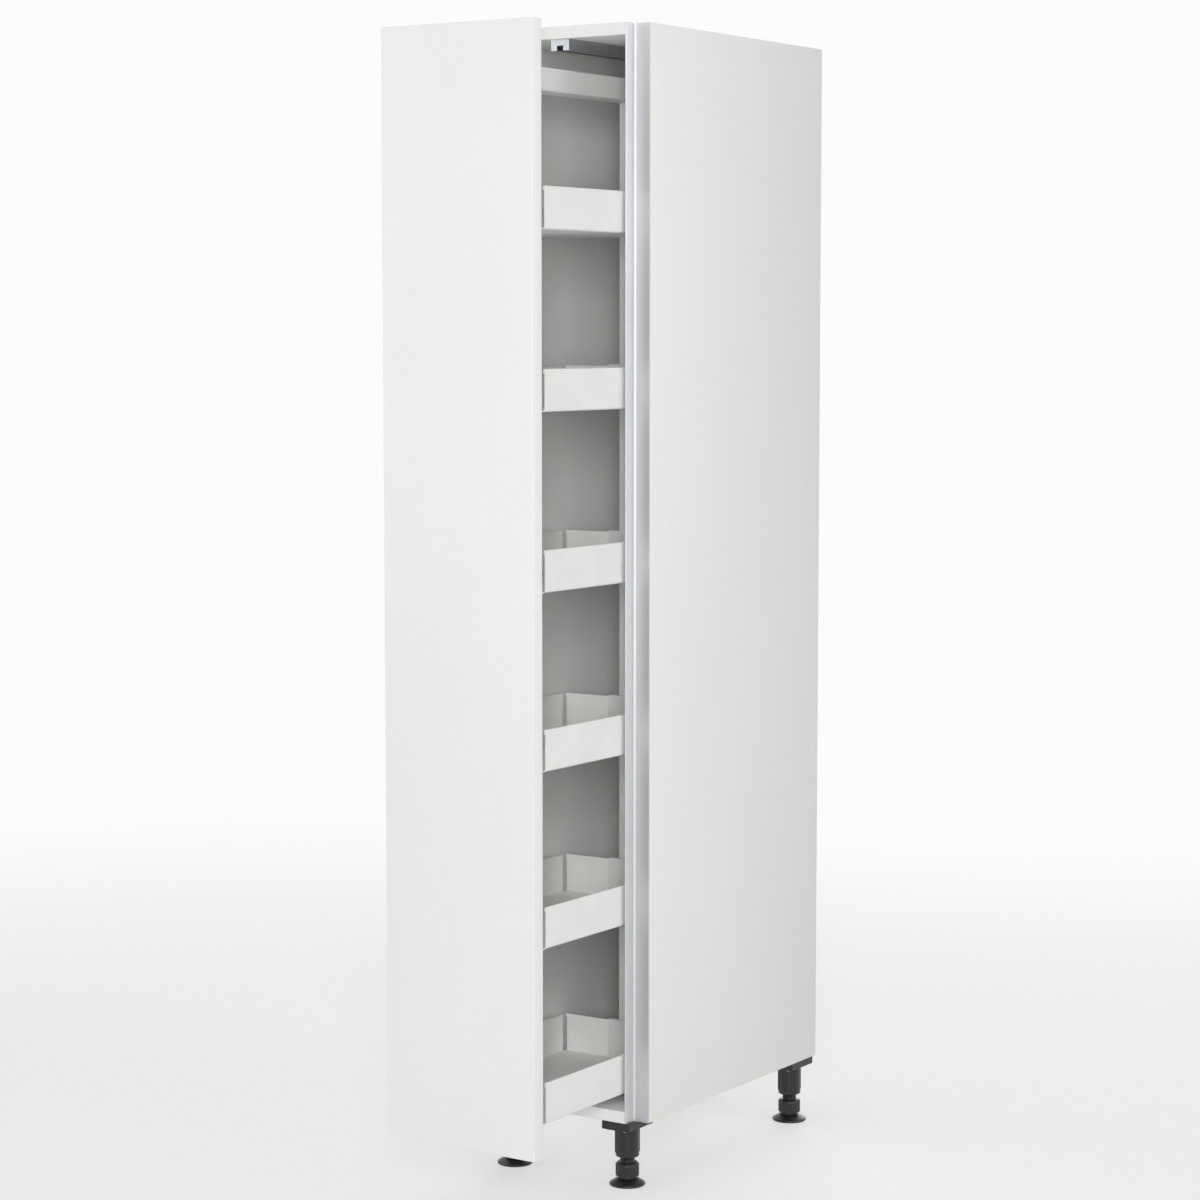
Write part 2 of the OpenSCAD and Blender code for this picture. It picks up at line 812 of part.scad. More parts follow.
// The shoes hold the columns on the runner's frame member: a plate with an ear on each side of
// the column
module shoe(y, plate_y) {
    shoe_w = 2 * frame_half - 2;
    color("silver") in_pullout() difference() {
        union() {
            translate([-shoe_w / 2, plate_y, column_z - shoe_t]) cube([shoe_w, shoe_l, shoe_t]);
            translate([0, y, column_z - EPS]) linear_extrude(shoe_ear_h)
                at_sides(ear_x + bracket_t / 2) bar(bracket_t, column_d);
        }
        shoe_screw_set(fit_gap / 2);
        column_screw_set(fit_gap / 2);
    }
}

module front_shoe() shoe(front_column_y, front_column_y);
module rear_shoe() shoe(rear_column_y, rear_column_y + column_d - shoe_l);

module shoe_screws() {
    color("silver") in_pullout() shoe_screw_set();
}

module beam_box(inset) translate([inset - beam_w / 2, beam_z + inset])
    rounded_rect(beam_w - 2 * inset, beam_h - 2 * inset, max(beam_r - inset, 0.5));

module top_beam() {
    color("gainsboro") in_pullout() along_y(front_column_y, beam_l) difference() {
        beam_box(0);
        beam_box(beam_t);
    }
}

module beam_caps() {
    cap_t = 2;
    cap_plug = 12;
    color("gray") in_pullout() {
        along_y(front_column_y - cap_t, cap_t) beam_box(0);
        along_y(front_column_y - EPS, cap_plug) beam_box(beam_t + fit_gap);
        along_y(front_column_y + beam_l, cap_t) beam_box(0);
        along_y(front_column_y + beam_l - cap_plug + EPS, cap_plug) beam_box(beam_t + fit_gap);
    }
}

// ---- Trays ----

// Section of a folded wall: x = 0 is its outer face, z = 0 the underside of the floor sheet
module wall_section() {
    difference() {
        translate([fold_r, fold_r]) circle(fold_r);
        translate([fold_r, fold_r]) circle(bend_r);
        translate([fold_r, 0]) square(2 * fold_r);
        translate([0, fold_r]) square(2 * fold_r);
    }
    translate([0, fold_r - EPS]) square([sheet_t, tray_h - fold_r - hem_r + EPS]);
    translate([0, tray_h - hem_h]) square([2 * hem_r, hem_h - hem_r]);
    translate([hem_r, tray_h - hem_r]) circle(hem_r);
}

module tray_floor() {
    tab_w = fold_r + tab_r - tab_back;
    tab_l = side_relief - 2 * tab_back;
    linear_extrude(sheet_t) {
        translate([0, fold_r - EPS])
            bar(tray_w - 2 * fold_r + 2 * EPS, tray_l - 2 * fold_r + 2 * EPS);
        for (s = [-1, 1], y = [tab_back, tray_l - tab_back - tab_l])
            translate([s * (tray_w / 2 - tab_back - tab_w / 2) - tab_w / 2, y])
                rounded_rect(tab_w, tab_l, tab_r);
    }
}

// One folded sheet: a floor and four hemmed walls that stop short of each other at the corners
module tray(i) {
    color("whitesmoke") in_pullout() translate([0, tray_front, tray_z(i)]) {
        tray_floor();
        both_sides() translate([-tray_w / 2, 0, 0])
            along_y(side_relief, tray_l - 2 * side_relief) wall_section();
        for (s = [0, 1]) translate([0, s * tray_l, 0]) mirror([0, s, 0])
            across_x(tray_w - 2 * end_relief) wall_section();
    }
}

// A saddle over the end wall, with two hooks through the column's slots. y = 0 is the wall's
// outer face, and the column is at -y.
module hook_bracket() {
    inner = 2 * hem_r + fit_gap;
    top = tray_h + fit_gap;
    across_x(hook_w) {
        translate([-hook_reach, tongue_h]) square([hook_t, top - tongue_h + hook_t]);
        translate([-hook_reach, top]) square([hook_reach + inner + hook_t, hook_t]);
        translate([inner, sheet_t + fit_gap]) square([hook_t, top - sheet_t - fit_gap + hook_t]);
    }
    for (k = [0, 1]) across_x(slot_w - 2 * run_gap) {
        z = hook_z0 + k * slot_pitch + fit_gap / 2;
        lip_y = hook_reach + run_gap + column_t + run_gap + hook_t;
        translate([-lip_y, z]) square([lip_y - hook_reach + EPS, tongue_h]);
        translate([-lip_y, z - lip_drop]) square([hook_t, lip_drop + EPS]);
    }
}

module tray_hooks(end) {
    color("gray") in_pullout() for (i = [0:TRAYS - 1])
        translate([0, tray_front + end * tray_l, tray_z(i)]) mirror([0, end, 0]) hook_bracket();
}

side_left();
side_right();
top_panel();
bottom_panel();
back_panel();
fixing_rail();
carcass_dowels();
grip_profile();
for (c = [0:3]) {
    leg_socket(c);
    leg_foot(c);
}
leg_screws();
runner_cabinet_member();
runner_middle_member();
runner_frame_member();
runner_cage_outer();
runner_cage_inner();
runner_balls_outer();
runner_balls_inner();
runner_screws();
guide_rail();
guide_screws();
guide_carriage();
guide_pins();
guide_roller(0);  // guide_roller_front
guide_roller(1);  // guide_roller_rear
door();
door_buffers();
door_bracket(0);  // door_bracket_top
door_bracket(1);  // door_bracket_middle
door_bracket(2);  // door_bracket_bottom
door_screws();
column_screws();
front_column();
rear_column();
column_plugs();
front_shoe();
rear_shoe();
shoe_screws();
top_beam();
beam_caps();
for (i = [0:TRAYS - 1])
    tray(i);
for (e = [0, 1])
    tray_hooks(e);
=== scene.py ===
"""Looks of a tall pull-out larder unit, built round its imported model.

A white kitchen unit stands on black plinth legs. Its handle-less door draws out a slim frame of
six white trays, and an aluminium grip recess runs down its front right corner. Lengths are in
metres, in the model's frame: the floor is z = 0 and the door faces -Y.
"""

import json
import logging
import math
from dataclasses import dataclass
from enum import Enum
from typing import Callable, Iterable, Sequence

import bmesh
import bpy
from mathutils import Matrix, Vector


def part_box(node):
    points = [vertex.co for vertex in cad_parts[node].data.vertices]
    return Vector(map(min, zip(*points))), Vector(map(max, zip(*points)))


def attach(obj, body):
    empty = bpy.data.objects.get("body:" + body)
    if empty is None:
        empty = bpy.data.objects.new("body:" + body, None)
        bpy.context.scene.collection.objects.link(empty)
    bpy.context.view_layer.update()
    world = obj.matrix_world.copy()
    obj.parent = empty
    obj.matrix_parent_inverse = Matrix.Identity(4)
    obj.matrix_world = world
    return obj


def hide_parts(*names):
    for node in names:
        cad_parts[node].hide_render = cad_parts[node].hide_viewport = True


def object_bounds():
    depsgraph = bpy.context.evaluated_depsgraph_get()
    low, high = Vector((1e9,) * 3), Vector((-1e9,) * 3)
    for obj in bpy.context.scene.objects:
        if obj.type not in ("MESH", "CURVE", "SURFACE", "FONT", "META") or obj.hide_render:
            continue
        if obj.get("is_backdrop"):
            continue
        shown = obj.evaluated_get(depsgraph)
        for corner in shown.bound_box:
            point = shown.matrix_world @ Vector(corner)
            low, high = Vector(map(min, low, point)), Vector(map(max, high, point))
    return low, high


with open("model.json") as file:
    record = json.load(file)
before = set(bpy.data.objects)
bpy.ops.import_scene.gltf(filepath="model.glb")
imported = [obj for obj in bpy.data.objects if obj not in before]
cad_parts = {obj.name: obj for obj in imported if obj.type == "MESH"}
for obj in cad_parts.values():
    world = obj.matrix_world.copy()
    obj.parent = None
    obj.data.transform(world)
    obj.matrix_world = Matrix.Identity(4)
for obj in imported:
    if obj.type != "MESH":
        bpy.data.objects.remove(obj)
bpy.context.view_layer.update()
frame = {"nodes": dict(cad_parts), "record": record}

MM = 0.001
# Lengths that differ by less than this are the same.
SAME = 1e-7
# Points of a CAD mesh that lie closer than this are one point.
WELD_GAP = 0.01 * MM
# A bevel's profile that gives a round edge.
ROUND_EDGE = 0.5
# The Mix node's two colour inputs and its colour output.
MIX_UNDER, MIX_OVER, MIX_COLOUR = 6, 7, 2
QUARTER_TURN = math.pi / 2
LOG = logging.getLogger("larder")
Flat = tuple[float, float]
Plan = Sequence[Flat]
Ring = list[tuple[float, float, float]]
Radius = Callable[[float, float, float], float]


def linear(code: str) -> tuple[float, float, float, float]:
    """Turns an sRGB hex colour to linear light.

    Args:
        code: six hex digits after a hash.

    Returns:
        Red, green, blue and alpha, each from 0 to 1.
    """
    shares = [int(code[i:i + 2], 16) / 255 for i in (1, 3, 5)]
    lit = [s / 12.92 if s <= 0.04045 else ((s + 0.055) / 1.055) ** 2.4 for s in shares]
    return (*lit, 1.0)


def add_node(
    tree: bpy.types.NodeTree,
    kind: str,
    inputs: dict[str | int, object] | None = None,
    **settings: object,
) -> bpy.types.Node:
    """Adds a node with its settings, values and links.

    Args:
        tree: the tree that gets the node.
        kind: the node's type name.
        inputs: for a socket's name or number, a value, or an output that is linked to it.
        settings: the node's own properties.

    Returns:
        The new node.
    """
    node = tree.nodes.new(kind)
    for name, value in settings.items():
        setattr(node, name, value)
    for name, value in (inputs or {}).items():
        if isinstance(value, bpy.types.NodeSocket):
            tree.links.new(value, node.inputs[name])
        else:
            node.inputs[name].default_value = value
    return node


# ---- Finishes ----


class Pattern(Enum):
    """Textures that a layer of a finish is drawn with: a node type and the output it uses."""

    CLOUD = ("ShaderNodeTexNoise", 0)
    BUMPS = ("ShaderNodeTexVoronoi", 0)
    FLAKES = ("ShaderNodeTexVoronoi", 1)


@dataclass(frozen=True)
class Layer:
    """One layer of a surface's pattern.

    Fields:
        pattern: how it is drawn.
        size_mm: the spacing of its features along X, Y and Z.
        low, high: the part of the pattern's range that runs from none to full.
        tone: the colour that full strength leads to, with its share.
        gloss: what full strength adds to the roughness.
        depth_mm: how high full strength stands.
    """

    pattern: Pattern
    size_mm: tuple[float, float, float]
    low: float = 0.35
    high: float = 0.65
    tone: tuple[str, float] | None = None
    gloss: float = 0.0
    depth_mm: float = 0.0


@dataclass(frozen=True)
class Finish:
    """A real material with the surface that its making gave it.

    Fields:
        name: the material's name.
        colour: its sRGB colour.
        roughness, metallic, ior, transmission: as on the shader's sockets.
        coat, coat_roughness: a clear coat's weight and roughness.
        subsurface, subsurface_reach_mm: how much light goes under the surface, and how far.
        layers: its patterns, each over the one before.
    """

    name: str
    colour: str
    roughness: float
    metallic: float = 0.0
    ior: float = 1.5
    coat: float = 0.0
    coat_roughness: float = 0.1
    transmission: float = 0.0
    subsurface: float = 0.0
    subsurface_reach_mm: float = 2.0
    layers: tuple[Layer, ...] = ()

    def build(self) -> bpy.types.Material:
        """Makes the material, with every layer's colour, gloss and relief in object space.

        Returns:
            The material.
        """
        material = bpy.data.materials.new(self.name)
        material.use_nodes = True
        tree = material.node_tree
        shader = tree.nodes["Principled BSDF"]
        constants = {
            "Base Color": linear(self.colour),
            "Roughness": self.roughness,
            "Metallic": self.metallic,
            "IOR": self.ior,
            "Coat Weight": self.coat,
            "Coat Roughness": self.coat_roughness,
            "Transmission Weight": self.transmission,
            "Subsurface Weight": self.subsurface,
        }
        for socket, value in constants.items():
            shader.inputs[socket].default_value = value
        if self.subsurface:
            shader.inputs["Subsurface Scale"].default_value = self.subsurface_reach_mm * MM
        coords = add_node(tree, "ShaderNodeTexCoord")
        for layer in self.layers:
            self._lay(tree, shader, coords, layer)
        material.diffuse_color = linear(self.colour)
        return material

    def _lay(
        self,
        tree: bpy.types.NodeTree,
        shader: bpy.types.Node,
        coords: bpy.types.Node,
        layer: Layer,
    ) -> None:
        """Adds one layer on top of what already feeds the shader.

        Args:
            tree: the material's tree.
            shader: its Principled node.
            coords: its texture coordinates.
            layer: what to add.
        """
        place = add_node(
            tree,
            "ShaderNodeMapping",
            {"Vector": coords.outputs["Object"], "Scale": [1 / (s * MM) for s in layer.size_mm]},
        )
        kind, output = layer.pattern.value
        texture = add_node(tree, kind, {"Vector": place.outputs["Vector"], "Scale": 1.0})
        strength = add_node(
            tree,
            "ShaderNodeMapRange",
            {"Value": texture.outputs[output], "From Min": layer.low, "From Max": layer.high},
        ).outputs["Result"]
        if layer.tone:
            code, share = layer.tone
            part = add_node(tree, "ShaderNodeMath", {0: strength, 1: share}, operation="MULTIPLY")
            mix = add_node(
                tree, "ShaderNodeMix", {0: part.outputs[0], MIX_OVER: linear(code)}, data_type="RGBA"
            )
            self._put_under(tree, shader, "Base Color", mix.inputs[MIX_UNDER])
            tree.links.new(mix.outputs[MIX_COLOUR], shader.inputs["Base Color"])
        if layer.gloss:
            add = add_node(tree, "ShaderNodeMath", {0: strength, 1: layer.gloss}, operation="MULTIPLY_ADD")
            self._put_under(tree, shader, "Roughness", add.inputs[2])
            tree.links.new(add.outputs[0], shader.inputs["Roughness"])
        if layer.depth_mm:
            bump = add_node(tree, "ShaderNodeBump", {"Height": strength, "Distance": layer.depth_mm * MM})
            if shader.inputs["Normal"].is_linked:
                self._put_under(tree, shader, "Normal", bump.inputs["Normal"])
            tree.links.new(bump.outputs["Normal"], shader.inputs["Normal"])

    @staticmethod
    def _put_under(
        tree: bpy.types.NodeTree, shader: bpy.types.Node, socket: str, target: bpy.types.NodeSocket
    ) -> None:
        """Gives a new node's input what the shader's socket has had so far, link or value.

        Args:
            tree: the material's tree.
            shader: its Principled node.
            socket: the name of the shader's socket.
            target: the new node's input.
        """
        current = shader.inputs[socket]
        if current.is_linked:
            tree.links.new(current.links[0].from_socket, target)
        else:
            target.default_value = current.default_value


# Melamine-faced chipboard, pressed against a pearl-textured plate: an even white with a low
# sheen that breaks up close to. The pearls are 0.6 mm on the real sheet and are drawn 1.6 mm.
MELAMINE = Finish(
    "melamine_pearl_pressed", "#F2F2F0", 0.42,
    layers=(
        Layer(Pattern.CLOUD, (1.6, 1.6, 1.6), tone=("#ECECEA", 0.6), gloss=0.06, depth_mm=0.02),
        Layer(Pattern.CLOUD, (210, 210, 330), tone=("#EEEEEB", 0.5), gloss=0.03),
    ),
)
# ABS edge band, extruded 0.8 mm thick and trimmed flush: smoother than the board it edges.
EDGE_BAND = Finish(
    "abs_edge_band_extruded", "#F4F4F2", 0.33,
    layers=(Layer(Pattern.CLOUD, (0.5, 0.5, 60), gloss=0.07, depth_mm=0.008),),
)
# Raw chipboard, sawn: pressed flakes of spruce, 1 to 4 mm, from straw to dark bark.
CHIPBOARD = Finish(
    "chipboard_sawn", "#D3B588", 0.85,
    layers=(
        Layer(Pattern.FLAKES, (3.2, 3.2, 1.4), 0.1, 0.95, ("#A67C4E", 0.75), 0.0, 0.12),
        Layer(Pattern.FLAKES, (1.1, 1.1, 0.9), 0.72, 0.9, ("#6E4C2C", 0.7), 0.0, 0.06),
        Layer(Pattern.CLOUD, (45, 45, 45), tone=("#E2CBA3", 0.4)),
    ),
)
# White-faced hardboard, pressed thin: duller and a little warmer than the sides.
HARDBOARD = Finish(
    "hardboard_white_faced", "#EFEFEB", 0.55,
    layers=(
        Layer(Pattern.CLOUD, (2.4, 2.4, 2.4), gloss=0.08, depth_mm=0.03),
        Layer(Pattern.CLOUD, (160, 160, 240), tone=("#E9E9E3", 0.6)),
    ),
)
# Beech, turned and fluted: pale brown with short darker flecks along the grain.
BEECH = Finish(
    "beech_turned", "#D9B487", 0.6,
    layers=(
        Layer(Pattern.CLOUD, (18, 0.9, 0.9), tone=("#B98B5C", 0.6), depth_mm=0.05),
        Layer(Pattern.FLAKES, (3, 0.5, 0.5), 0.7, 0.9, ("#9C6F45", 0.5)),
    ),
)
# Aluminium, extruded and satin anodised: a soft grey with die lines that run its whole length.
# Real die lines are finer than 0.1 mm and are drawn 0.7 mm apart.
ANODISED = Finish(
    "aluminium_extruded_anodised", "#D4D5D6", 0.5, metallic=1.0,
    layers=(
        Layer(Pattern.CLOUD, (0.7, 0.7, 900), tone=("#C6C7C9", 0.6), gloss=0.08, depth_mm=0.01),
        Layer(Pattern.CLOUD, (90, 90, 260), tone=("#CDCED0", 0.6), gloss=0.04),
    ),
)
# Polypropylene, moulded black against a spark-eroded tool: a fine even grain and a soft sheen.
POLYPROPYLENE = Finish(
    "polypropylene_moulded_black", "#1D1C1D", 0.26,
    layers=(
        Layer(Pattern.BUMPS, (0.9, 0.9, 0.9), 0.1, 0.8, ("#262526", 0.6), 0.08, 0.03),
        Layer(Pattern.CLOUD, (26, 26, 26), gloss=0.1),
    ),
)
# Steel, rolled and zinc plated: bluish grey, with rolling lines and the clouds of the bath.
ZINC = Finish(
    "steel_zinc_plated", "#C2C6CB", 0.3, metallic=1.0,
    layers=(
        Layer(Pattern.CLOUD, (14, 40, 14), tone=("#AEB4BD", 0.7), gloss=0.12),
        Layer(Pattern.CLOUD, (0.6, 30, 0.6), tone=("#D5D5CF", 0.4), gloss=0.1, depth_mm=0.01),
    ),
)
# Ball steel, hardened and lapped: a mirror with a faint film of grease.
BALL_STEEL = Finish(
    "ball_steel_lapped", "#C9CBCD", 0.12, metallic=1.0,
    layers=(Layer(Pattern.CLOUD, (4, 4, 4), tone=("#B4B3A6", 0.5), gloss=0.16),),
)
# Nylon, moulded and left natural: ivory, slightly see-through at its edges.
NYLON = Finish(
    "nylon_moulded_natural", "#E9E3D2", 0.42, subsurface=0.12,
    layers=(Layer(Pattern.CLOUD, (9, 9, 9), tone=("#DED6C0", 0.6), gloss=0.12, depth_mm=0.02),),
)
# Silicone, cast clear: a soft milky dot.
SILICONE = Finish(
    "silicone_cast_clear", "#EDF0F0", 0.3, ior=1.41, transmission=0.5,
    layers=(Layer(Pattern.CLOUD, (3, 3, 3), gloss=0.15, depth_mm=0.02),),
)
# Lacquered board, sprayed white and cured: satin, with an orange peel about 2 mm across.
LACQUER = Finish(
    "lacquer_sprayed_white", "#F6F6F5", 0.38, coat=0.12, coat_roughness=0.24,
    layers=(
        Layer(Pattern.CLOUD, (2.2, 2.2, 2.2), gloss=0.04, depth_mm=0.015),
        Layer(Pattern.CLOUD, (260, 260, 420), tone=("#F2F2F0", 0.6), gloss=0.03),
    ),
)


def powder(name: str, colour: str, shade: str) -> Finish:
    """Powder coat on steel, sprayed and stoved: a pebbled satin film.

    Args:
        name: the material's name.
        colour: its sRGB colour.
        shade: the colour of its darker patches.

    Returns:
        The finish. The pebbles are 0.8 mm on the real coat and are drawn 1.3 mm.
    """
    return Finish(
        name, colour, 0.44,
        layers=(
            Layer(Pattern.BUMPS, (1.3, 1.3, 1.3), 0.1, 0.9, None, 0.06, 0.03),
            Layer(Pattern.CLOUD, (70, 70, 70), tone=(shade, 0.6), gloss=0.05),
        ),
    )


FINISH_OF_SLOT = {
    "carcass_board": MELAMINE,
    "back_board": HARDBOARD,
    "beech": BEECH,
    "grip_aluminium": ANODISED,
    "leg_plastic": POLYPROPYLENE,
    "zinc_steel": ZINC,
    "ball_steel": BALL_STEEL,
    "nylon": NYLON,
    "door_lacquer": LACQUER,
    "buffer_silicone": SILICONE,
    "frame_powder": powder("powder_coat_frame", "#E9E9E7", "#E2E2DF"),
    "cap_plastic": Finish(
        "abs_moulded_light_grey", "#D9DAD9", 0.4,
        layers=(Layer(Pattern.CLOUD, (1.2, 1.2, 1.2), gloss=0.1, depth_mm=0.02),),
    ),
    "tray_powder": powder("powder_coat_tray", "#F1F1EF", "#EAEAE7"),
    "hook_powder": powder("powder_coat_hook", "#E2E2E0", "#DADAD7"),
}


class Palette:
    """Builds each finish once and hands it out by slot or by finish."""

    def __init__(self) -> None:
        """Starts with no material built."""
        self._built: dict[str, bpy.types.Material] = {}

    def get(self, finish: Finish) -> bpy.types.Material:
        """Hands out a finish's material, built at its first use.

        Args:
            finish: the finish.

        Returns:
            Its material.
        """
        if finish.name not in self._built:
            self._built[finish.name] = finish.build()
        return self._built[finish.name]

    def slot(self, name: str) -> bpy.types.Material:
        """Returns the material of one of the record's slots."""
        return self.get(FINISH_OF_SLOT[name])


# ---- Meshes ----


def make_piece(
    name: str,
    made: bmesh.types.BMesh,
    body: str,
    materials: Sequence[bpy.types.Material],
    replaces: Iterable[str] = (),
    smooth_below: float = 35.0,
) -> bpy.types.Object:
    """Turns a finished bmesh to a piece that rides on a body.

    Args:
        name: the piece's name.
        made: its mesh, in metres in the model's frame; it is freed.
        body: the body that carries it.
        materials: its materials, in the order of its faces' numbers.
        replaces: the nodes that it stands for.
        smooth_below: the angle in degrees under which neighbouring faces shade as one.

    Returns:
        The object.
    """
    mesh = bpy.data.meshes.new(name)
    bmesh.ops.recalc_face_normals(made, faces=made.faces)
    for face in made.faces:
        face.smooth = True
    made.to_mesh(mesh)
    made.free()
    mesh.set_sharp_from_angle(angle=math.radians(smooth_below))
    for material in materials:
        mesh.materials.append(material)
    piece = bpy.data.objects.new(name, mesh)
    bpy.context.scene.collection.objects.link(piece)
    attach(piece, body)
    nodes = list(replaces)
    if nodes:
        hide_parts(*nodes)
    LOG.info("%s: %d faces, on %s, for %s", name, len(mesh.polygons), body, ", ".join(nodes) or "no node")
    return piece


def rectangle(left: float, front: float, right: float, rear: float) -> list[Flat]:
    """Returns a rectangle's corners, seen from above."""
    return [(left, front), (right, front), (right, rear), (left, rear)]


def standing_in(low: Vector, high: Vector) -> Matrix:
    """Returns the place of a shape turned round the upright middle axis of a box, from its foot."""
    return Matrix.Translation(((low.x + high.x) / 2, (low.y + high.y) / 2, low.z))


def prism(outline: Plan, bottom: float, top: float, ease: float, steps: int = 2) -> bmesh.types.BMesh:
    """Raises a plan outline to a board and eases its edges.

    Args:
        outline: the corners in X and Y.
        bottom, top: the heights of its faces.
        ease: the radius of its edges.
        steps: the number of facets across an eased edge.

    Returns:
        The mesh.
    """
    made = bmesh.new()
    base = made.faces.new([made.verts.new((x, y, bottom)) for x, y in outline])
    raised = bmesh.ops.extrude_face_region(made, geom=[base])["geom"]
    moved = [g for g in raised if isinstance(g, bmesh.types.BMVert)]
    bmesh.ops.translate(made, verts=moved, vec=(0, 0, top - bottom))
    bmesh.ops.bevel(
        made, geom=list(made.edges), offset=ease, offset_type="OFFSET", segments=steps,
        profile=ROUND_EDGE, affect="EDGES",
    )
    return made


def revolve(
    made: bmesh.types.BMesh,
    profile: Sequence[Flat],
    count: int,
    place: Matrix,
    radius_at: Radius | None = None,
) -> None:
    """Turns a profile round the local Z axis and adds it to a mesh.

    Args:
        made: the mesh that gets the faces.
        profile: radius and height of each ring, from one pole to the other.
        count: the points in a ring.
        place: where the turned shape goes.
        radius_at: gives the radius for a profile's radius, a height and an angle.
    """
    rings = []
    for radius, height in profile:
        if radius < SAME:
            rings.append([made.verts.new(place @ Vector((0, 0, height)))])
            continue
        ring = []
        for k in range(count):
            angle = 2 * math.pi * k / count
            r = radius_at(radius, height, angle) if radius_at else radius
            point = Vector((r * math.cos(angle), r * math.sin(angle), height))
            ring.append(made.verts.new(place @ point))
        rings.append(ring)
    join_rings(made, rings)


def join_rings(made: bmesh.types.BMesh, rings: Sequence[Sequence[bmesh.types.BMVert]]) -> None:
    """Closes the space between neighbouring rings of points with faces.

    Args:
        made: the mesh that gets the faces.
        rings: the rings in order. All have the same number of points, but a pole has one.
    """
    for low, high in zip(rings, rings[1:]):
        below, above = len(low), len(high)
        for k in range(max(below, above)):
            after = k + 1
            corners = (low[k % below], low[after % below], high[after % above], high[k % above])
            made.faces.new(list(dict.fromkeys(corners)))


def islands(node: str) -> list[list[Vector]]:
    """Splits a CAD node's mesh into its separate solids.

    Args:
        node: the node's name.

    Returns:
        The points of each solid, in the order in which the mesh lists them.
    """
    welded = bmesh.new()
    welded.from_mesh(frame["nodes"][node].data)
    bmesh.ops.remove_doubles(welded, verts=welded.verts, dist=WELD_GAP)
    welded.verts.ensure_lookup_table()
    seen: set[int] = set()
    groups = []
    for start in welded.verts:
        if start.index in seen:
            continue
        seen.add(start.index)
        queue, group = [start], []
        while queue:
            vert = queue.pop()
            group.append(vert.co.copy())
            for edge in vert.link_edges:
                other = edge.other_vert(vert)
                if other.index not in seen:
                    seen.add(other.index)
                    queue.append(other)
        groups.append(group)
    welded.free()
    return groups


# ---- Sub-assemblies ----


@dataclass
class Carcass:
    """The boards of the fixed cabinet, three of them with an edge band on their front.

    Fields:
        band: the thickness of the edge band.
        ease: the radius of the boards' edges.
        boards: the banded boards. The right side has no band, because it ends at the grip profile.
        upright_from: the height from which a board counts as an upright.
        facing: the share of a direction from which a face counts as facing that way.
    """

    palette: Palette
    band: float = 0.8 * MM
    ease: float = 0.5 * MM
    boards: tuple[str, ...] = ("side_left", "top_panel", "bottom_panel")
    upright_from: float = 1.0
    facing: float = 0.9

    def build(self) -> None:
        """Makes the right side, then the other boards with their edge bands."""
        self.board("side_right", self.plan("side_right"))
        for name in self.boards:
            plan = self.plan(name)
            front = min(y for _, y in plan)
            core = [(x, y + self.band if y == front else y) for x, y in plan]
            self.board(name, core)
            self.edge_band(name, [x for x, y in plan if y == front], front)

    def plan(self, name: str) -> list[Flat]:
        """Draws a board's outline from above, with the recess's corner cut out of a panel.

        Args:
            name: the board's node.

        Returns:
            The outline's corners.
        """
        low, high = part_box(name)
        plan = rectangle(low.x, low.y, high.x, high.y)
        if name in ("top_panel", "bottom_panel"):
            recess_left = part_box("grip_profile")[0].x
            recess_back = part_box("side_right")[0].y
            plan[1:2] = [(recess_left, low.y), (recess_left, recess_back), (high.x, recess_back)]
        return plan

    def board(self, name: str, plan: Plan) -> None:
        """Makes one board: faced on its broad sides and raw chipboard on its rear edge and, on
        an upright, its lower end.

        Args:
            name: the node that it stands for.
            plan: its outline from above.
        """
        low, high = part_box(name)
        upright = high.z - low.z > self.upright_from
        made = prism(plan, low.z, high.z, self.ease)
        bmesh.ops.recalc_face_normals(made, faces=made.faces)
        for face in made.faces:
            rear, foot = face.normal.y > self.facing, face.normal.z < -self.facing
            face.material_index = int(rear or upright and foot)
        materials = [self.palette.slot("carcass_board"), self.palette.get(CHIPBOARD)]
        make_piece(f"{name}_board", made, "carcass", materials, replaces=[name])

    def edge_band(self, name: str, xs: Sequence[float], front: float) -> None:
        """Glues the edge band on a board's front.

        Args:
            name: the board's node.
            xs: the X values of the front edge's ends.
            front: the front edge's Y.
        """
        low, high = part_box(name)
        plan = rectangle(min(xs), front, max(xs), front + self.band)
        made = prism(plan, low.z, high.z, self.ease / 2, steps=1)
        make_piece(f"{name}_edge_band", made, "carcass", [self.palette.get(EDGE_BAND)])


@dataclass
class DoorFront:
    """The handle-less door, with all its edges rounded and lacquered in one."""

    palette: Palette
    edge_radius: float = 1.5 * MM
    edge_steps: int = 5

    def build(self) -> None:
        """Makes the door's slab."""
        low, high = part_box("door")
        plan = rectangle(low.x, low.y, high.x, high.y)
        made = prism(plan, low.z, high.z, self.edge_radius, self.edge_steps)
        make_piece(
            "door_slab", made, "pullout", [self.palette.slot("door_lacquer")],
            replaces=["door"], smooth_below=60.0,
        )


